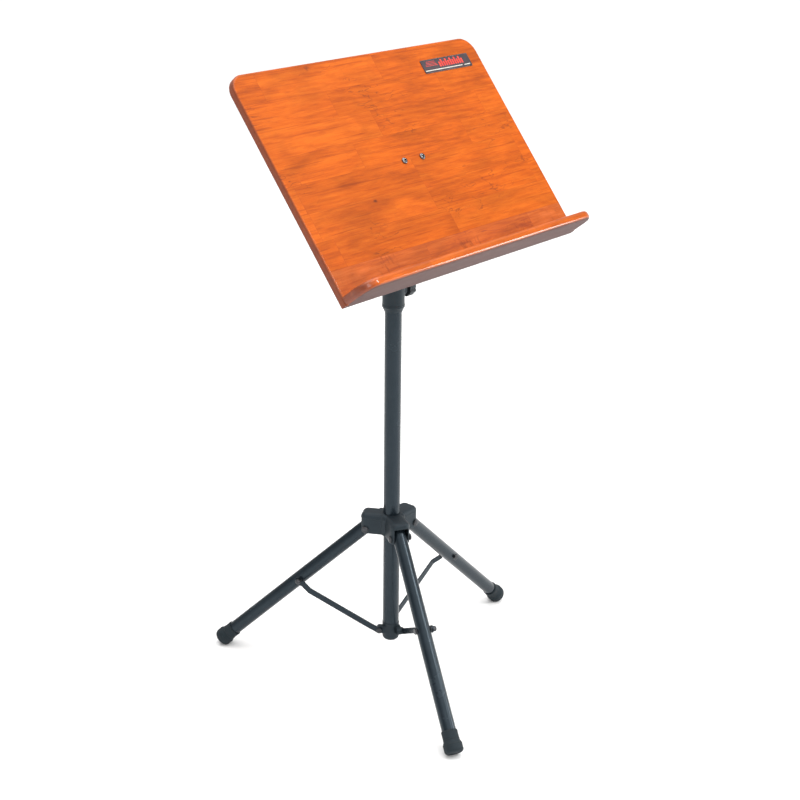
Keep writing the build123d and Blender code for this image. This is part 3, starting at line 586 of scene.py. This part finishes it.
def makeBadge():
    low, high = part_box("desk_badge")
    middle = deskPlace.inverted() @ ((low + high) / 2)
    localCorners = [deskPlace.inverted() @ vertex.co for vertex in frame["nodes"]["desk_badge"].data.vertices]
    width = max(point.x for point in localCorners) - min(point.x for point in localCorners)
    height = max(point.y for point in localCorners) - min(point.y for point in localCorners)
    top = max(point.z for point in localCorners)
    place = deskPlace @ Matrix.Translation((middle.x, middle.y, top))
    detail = badgeDetail

    rim = bmesh.new()
    path = [place @ Vector((x, y, 0.05 * mm))
            for x, y in roundedOutline(0, 0, width - 2 * detail["rimInset"], height - 2 * detail["rimInset"],
                                       1.2 * mm)]
    addTube(rim, path, [detail["rimWidth"] / 2] * len(path), closed=True, sides=8)
    finishPiece("badge_rim", rim, "desk", "badge_plate", finishes["dark_fastener"])

    bars = bmesh.new()
    for number, barHeight in enumerate(detail["barHeights"]):
        centreX = detail["barStart"] + number * (detail["barWidth"] + detail["barGap"])
        barTall = barHeight * mm
        outline = roundedOutline(centreX, detail["barFoot"] + barTall / 2, detail["barWidth"], barTall,
                                 detail["barCorner"], 4)
        addPlate(bars, place, outline, detail["sunk"], detail["lineHeight"], detail["lineEase"])
    for number in range(4):
        outline = roundedOutline(detail["stackX"], detail["stackFoot"] + number * detail["stackStep"],
                                 detail["stackLength"] - number * detail["stackTaper"],
                                 detail["stackHeight"], 0.25 * mm, 3)
        addPlate(bars, place, outline, detail["sunk"], detail["lineHeight"], detail["lineEase"])
    finishPiece("badge_red_bars", bars, "desk", "badge_plate", redEnamel)

    footLine = bmesh.new()
    for centreX, length in detail["footLines"]:
        outline = roundedOutline(centreX, detail["footLineY"], length, detail["footLineHeight"], 0.5 * mm, 4)
        addPlate(footLine, place, outline, detail["sunk"], detail["lineHeight"], detail["lineEase"])
    finishPiece("badge_foot_line", footLine, "desk", "badge_plate", finishes["nylon"])


makeBadge()
print("badge done")


threadDetail = {
    "pitch": 0.8 * mm, "depth": 0.35 * mm, "turnSteps": 20, "radius": 2.35 * mm, "boltHead": 4.75 * mm,
}
weldDetail = {
    "steps": 44, "halfLength": 16 * mm, "offsets": (9.9 * mm, 13.6 * mm), "radius": 1.15 * mm,
    "plate": 2.5 * mm, "ripple": 0.13, "unevenness": 0.05,
}


def addThread(mesh, place, radius, start, end):
    # a closed ridge that winds round the shank
    turns = (end - start) / threadDetail["pitch"]
    steps = int(turns * threadDetail["turnSteps"])
    points = []
    radii = []
    for step in range(steps + 1):
        turn = 2 * math.pi * step / threadDetail["turnSteps"]
        height = start + (end - start) * step / steps
        fade = min(1.0, step / 6, (steps - step) / 6)
        points.append(place @ Vector((radius * math.cos(turn), radius * math.sin(turn), height)))
        radii.append(threadDetail["depth"] * (0.25 + 0.75 * fade))
    addTube(mesh, points, radii, sides=6)


def localBox(nodeName):
    corners = [deskPlace.inverted() @ vertex.co for vertex in frame["nodes"][nodeName].data.vertices]
    low = Vector([min(point[axis] for point in corners) for axis in range(3)])
    high = Vector([max(point[axis] for point in corners) for axis in range(3)])
    return low, high


def makeDeskHardware():
    boltLow, boltHigh = localBox("desk_bolts")
    nutLow = localBox("desk_nuts")[0]
    boltX = boltHigh.x - threadDetail["boltHead"]
    threads = bmesh.new()
    for side in (-1, 1):
        place = deskPlace @ Matrix.Translation((side * boltX, 0, 0))
        addThread(threads, place, threadDetail["radius"], boltLow.z + 0.45 * mm, nutLow.z + 0.1 * mm)
    finishPiece("desk_bolt_threads", threads, "desk", "chrome_bolt")

    welds = bmesh.new()
    randomBead = random.Random(7)
    weld = weldDetail
    root = localBox("desk_bracket")[1].z - weld["plate"]
    count = weld["steps"]
    for side in (-1, 1):
        for offset in weld["offsets"]:
            points = []
            radii = []
            for step in range(count + 1):
                y = weld["halfLength"] * (2 * step / count - 1)
                fade = min(1.0, step / 4, (count - step) / 4)
                points.append(deskPlace @ Vector((side * offset, y, root - 0.1 * mm)))
                ripple = 1.0 + weld["ripple"] * math.sin(step * 1.9)
                ripple += weld["unevenness"] * randomBead.random()
                radii.append(weld["radius"] * ripple * (0.3 + 0.7 * fade))
            addTube(welds, points, radii, sides=10)
    finishPiece("bracket_weld_beads", welds, "desk", "black_steel")


makeDeskHardware()
print("desk hardware done")


capDetail = {
    "share": 0.60, "height": 0.9 * mm, "dish": 0.5 * mm,
    "tiltRadius": 14 * mm, "heightRadius": 12 * mm, "hubRadius": 10 * mm,
}


def makeKnobCap(name, body, origin, outward, headRadius):
    outward = outward.normalized()
    across = outward.orthogonal().normalized()
    place = placeFrom(origin, across, outward.cross(across), outward)
    outer = headRadius * capDetail["share"]
    tall = capDetail["height"]
    dish = capDetail["dish"]
    cap = bmesh.new()
    profile = [(0, -0.05 * mm), (outer, -0.05 * mm), (outer, tall * 0.45), (outer - 0.25 * mm, tall * 0.8),
               (outer - 0.7 * mm, tall), (outer - 1.3 * mm, tall), (outer - 1.8 * mm, tall - dish * 0.7),
               (outer - 2.6 * mm, tall - dish), (outer * 0.22, tall - dish),
               (outer * 0.18, tall - dish * 0.6), (0, tall - dish * 0.55)]
    addTurned(cap, place, profile, 48)
    finishPiece(name, cap, body, "knob_plastic")


def makeKnobCaps():
    tiltEnd = Vector((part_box("tilt_knob")[1].x, tiltPoint.y, tiltPoint.z))
    makeKnobCap("tilt_knob_cap", "tilt_lock", tiltEnd, rightward, capDetail["tiltRadius"])
    heightLow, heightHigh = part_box("height_knob")
    middle = (heightLow + heightHigh) / 2
    heightEnd = Vector((heightHigh.x, 0, middle.z))
    makeKnobCap("height_knob_cap", "height_lock", heightEnd, rightward, capDetail["heightRadius"])
    outward = Vector(joints["hub_lock_turn"]["axis"]).normalized()
    reach = max(vertex.co.dot(outward) for vertex in frame["nodes"]["hub_knob"].data.vertices)
    hubEnd = outward * reach + Vector((0, 0, joints["hub_lock_turn"]["pos_m"][2]))
    makeKnobCap("hub_knob_cap", "hub_lock", hubEnd, outward, capDetail["hubRadius"])


makeKnobCaps()
print("knob caps done")


tripod = {
    "angles": (0, 120, 240), "lean": 46.74, "pivotReach": 38 * mm, "pivotHeight": 231.5 * mm,
    "footRun": 327.2 * mm, "strutReach": 16 * mm, "strutHeight": 60.5 * mm,
    "lobeHalf": 15 * mm, "lobeReach": 46 * mm, "lobeCorner": 9 * mm, "bossRadius": 20 * mm,
}
rivetDetail = {
    "headHeight": 1.8 * mm, "strutOuterSide": 14.3 * mm,
    "legRadius": 4.4 * mm, "legDome": 1.1 * mm, "legEdge": 0.15 * mm,
    "strutRadius": 4.0 * mm, "strutDome": 0.9 * mm, "strutEdge": 0.12 * mm,
}
seamDetail = {"height": 24.25 * mm, "radius": 0.30 * mm, "sunk": -0.10 * mm}
ringDetail = {
    "places": ((30.6 * mm, 11.8 * mm), (19.5 * mm, 11.8 * mm), (12.2 * mm, 14.0 * mm)),
    "sunk": 0.12 * mm, "radius": 0.45 * mm, "steps": 64,
}


def outwardAt(angle):
    turn = math.radians(angle)
    return Vector((math.cos(turn), math.sin(turn), 0))


def sidewaysAt(angle):
    return outwardAt(angle + 90)


def domeProfile(radius, height, edge):
    profile = [(0, -0.05 * mm), (radius, -0.05 * mm), (radius, edge)]
    for step in range(1, 7):
        turn = math.pi / 2 * step / 6
        profile.append((radius * math.cos(turn) if step < 6 else 0, edge + (height - edge) * math.sin(turn)))
    return profile


def makeRivetDomes():
    domes = bmesh.new()
    rivet = rivetDetail
    headOut = tripod["lobeHalf"] + rivet["headHeight"]
    for angle in tripod["angles"]:
        pivot = outwardAt(angle) * tripod["pivotReach"] + Vector((0, 0, tripod["pivotHeight"]))
        for side in (-1, 1):
            outward = sidewaysAt(angle) * side
            place = placeFrom(pivot + outward * headOut, outwardAt(angle) * side, Vector((0, 0, 1)), outward)
            addTurned(domes, place, domeProfile(rivet["legRadius"], rivet["legDome"], rivet["legEdge"]), 32)
    finishPiece("leg_rivet_domes", domes, "hub", "dark_fastener")

    domes = bmesh.new()
    headOut = rivet["strutOuterSide"] + rivet["headHeight"]
    for angle in tripod["angles"]:
        pivot = outwardAt(angle) * tripod["strutReach"] + Vector((0, 0, tripod["strutHeight"]))
        outward = sidewaysAt(angle)
        place = placeFrom(pivot + outward * headOut, outwardAt(angle), Vector((0, 0, 1)), outward)
        addTurned(domes, place, domeProfile(rivet["strutRadius"], rivet["strutDome"], rivet["strutEdge"]), 32)
    finishPiece("strut_rivet_domes", domes, "post", "dark_fastener")


def hubOutline(grow):
    points = []
    half = tripod["lobeHalf"] + grow
    reach = tripod["lobeReach"] + grow
    corner = tripod["lobeCorner"] + grow
    boss = tripod["bossRadius"] + grow
    opening = math.degrees(math.asin(half / boss))
    for angle in tripod["angles"]:
        out, side = outwardAt(angle), sidewaysAt(angle)
        for sign in (-1, 1):
            arc = [(reach - corner + corner * math.cos(math.pi / 2 * step / 6),
                    sign * (half - corner + corner * math.sin(math.pi / 2 * step / 6))) for step in range(7)]
            if sign < 0:
                arc.reverse()
            straight = [(boss * math.cos(math.radians(opening)) + (reach - corner) * share * 0.5, sign * half)
                        for share in (0.0, 0.35)]
            ordered = straight + arc if sign < 0 else arc + straight[::-1]
            points += [out * x + side * y for x, y in ordered]
        for share in (0.25, 0.5, 0.75):
            points.append(outwardAt(angle + opening + (120 - 2 * opening) * share) * boss)
    return points


def makeHubSeam():
    seam = bmesh.new()
    height = Vector((0, 0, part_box("hub_body")[0].z + seamDetail["height"]))  # just over the leg slots
    path = [point + height for point in hubOutline(seamDetail["sunk"])]
    addTube(seam, path, [seamDetail["radius"]] * len(path), closed=True, sides=6)
    finishPiece("hub_mould_seam", seam, "hub", "black_plastic")


def makeFootRings():
    lean = math.radians(tripod["lean"])
    for number, angle in enumerate(tripod["angles"], start=1):
        along = outwardAt(angle) * math.sin(lean) - Vector((0, 0, math.cos(lean)))
        pivot = outwardAt(angle) * tripod["pivotReach"] + Vector((0, 0, tripod["pivotHeight"]))
        across = sidewaysAt(angle)
        up = along.cross(across)
        rings = bmesh.new()
        for back, radius in ringDetail["places"]:
            middle = pivot + along * (tripod["footRun"] - back)
            path = []
            for step in range(ringDetail["steps"]):
                turn = 2 * math.pi * step / ringDetail["steps"]
                outward = across * math.cos(turn) + up * math.sin(turn)
                path.append(middle + outward * (radius - ringDetail["sunk"]))
            addTube(rings, path, [ringDetail["radius"]] * len(path), closed=True, sides=8)
        finishPiece(f"foot_rings_{number}", rings, f"leg_{number}", "foot_rubber")


makeRivetDomes()
makeHubSeam()
makeFootRings()
print("tripod details done")


studio = {
    "floorTone": (0.96, 0.96, 0.955), "floorSize": 60.0, "horizonGlow": 0.96, "middleGlow": 0.28,
    "zenithGlow": 1.90, "bandTop": 0.12, "bandEnd": 0.26,
    "glowStart": 0.45, "glowEnd": 0.95, "keyPower": 28.0, "fillPower": 34.0, "topPower": 60.0,
    "stripPower": 22.0,
}


def makeFloor():
    mesh = bmesh.new()
    count = 8
    for row in range(count + 1):
        for column in range(count + 1):
            mesh.verts.new(((column / count - 0.5) * studio["floorSize"],
                            (row / count - 0.5) * studio["floorSize"], 0))
    mesh.verts.ensure_lookup_table()
    for row in range(count):
        for column in range(count):
            first = row * (count + 1) + column
            mesh.faces.new([mesh.verts[place] for place in
                            (first, first + 1, first + count + 2, first + count + 1)])
    data = bpy.data.meshes.new("studio_floor")
    mesh.to_mesh(data)
    mesh.free()
    floor = bpy.data.objects.new("studio_floor", data)
    bpy.context.scene.collection.objects.link(floor)
    material, tree, shader = startMaterial("paleFloor", {"Roughness": 0.8, "Specular IOR Level": 0.1})
    drift = noiseAt(tree, objectPoint(tree), 0.7, 2.0)
    duller = [share * 0.985 for share in studio["floorTone"]]
    colour = mixColours(tree, drift, (*studio["floorTone"], 1), (*duller, 1))
    tree.links.new(colour, shader.inputs["Base Color"])
    data.materials.append(material)


def makeSky():
    world = bpy.data.worlds.new("studio")
    world.use_nodes = True
    tree = world.node_tree
    direction = addNode(tree, "ShaderNodeTexCoord").outputs["Generated"]
    height = addNode(tree, "ShaderNodeSeparateXYZ", None, {0: direction}).outputs["Z"]
    overhead = spread(tree, height, studio["glowStart"], studio["glowEnd"],
                      studio["middleGlow"], studio["zenithGlow"])
    low = spread(tree, height, studio["bandTop"], studio["bandEnd"],
                 studio["horizonGlow"], studio["middleGlow"])
    glow = calc(tree, "MAXIMUM", overhead, low)
    tree.links.new(glow, tree.nodes["Background"].inputs["Strength"])
    tree.nodes["Background"].inputs["Color"].default_value = (1, 1, 1, 1)
    bpy.context.scene.world = world


def makeLight(name, place, target, width, height, power):
    light = bpy.data.lights.new(name, "AREA")
    light.shape = "RECTANGLE"
    light.size = width
    light.size_y = height
    light.energy = power
    lamp = bpy.data.objects.new(name, light)
    lamp.location = place
    lamp.rotation_euler = (Vector(target) - Vector(place)).to_track_quat("-Z", "Y").to_euler()
    bpy.context.scene.collection.objects.link(lamp)


makeFloor()
makeSky()
makeLight("keyPanel", (2.3, -2.0, 1.0), (0, 0, 0.65), 0.5, 1.2, studio["keyPower"])
makeLight("fillPanel", (-2.2, -2.6, 2.6), (0, 0, 0.6), 1.6, 1.6, studio["fillPower"])
makeLight("topPanel", (0.3, 0.2, 3.6), (0, 0, 0), 3.2, 3.2, studio["topPower"])
makeLight("stripPanel", (0.97, -1.78, 2.38), (0, 0, 0.1), 0.22, 0.8, studio["stripPower"])

view = {
    "place": (-1.6050, -1.3778, 1.2505), "heading": (0.7349, 0.6782), "pitch": 19.84, "roll": -0.003772,
    "lens": 69.12, "shiftX": 0.0738, "shiftY": -0.0387,
}


def makeCamera():
    pitch = math.radians(view["pitch"])
    alongX, alongY = view["heading"]
    ahead = Vector((alongX * math.cos(pitch), alongY * math.cos(pitch), -math.sin(pitch)))
    level = Vector((alongY, -alongX, 0))
    above = level.cross(ahead)
    across = level * math.cos(view["roll"]) + above * math.sin(view["roll"])
    upward = above * math.cos(view["roll"]) - level * math.sin(view["roll"])
    lensData = bpy.data.cameras.new("standCamera")
    lensData.lens = view["lens"]
    lensData.sensor_width = 36
    lensData.shift_x = view["shiftX"]
    lensData.shift_y = view["shiftY"]
    camera = bpy.data.objects.new("standCamera", lensData)
    camera.matrix_world = placeFrom(Vector(view["place"]), across, upward, -ahead)
    bpy.context.scene.collection.objects.link(camera)
    bpy.context.scene.camera = camera


makeCamera()
bpy.context.scene.view_settings.view_transform = "Standard"
print("studio done")
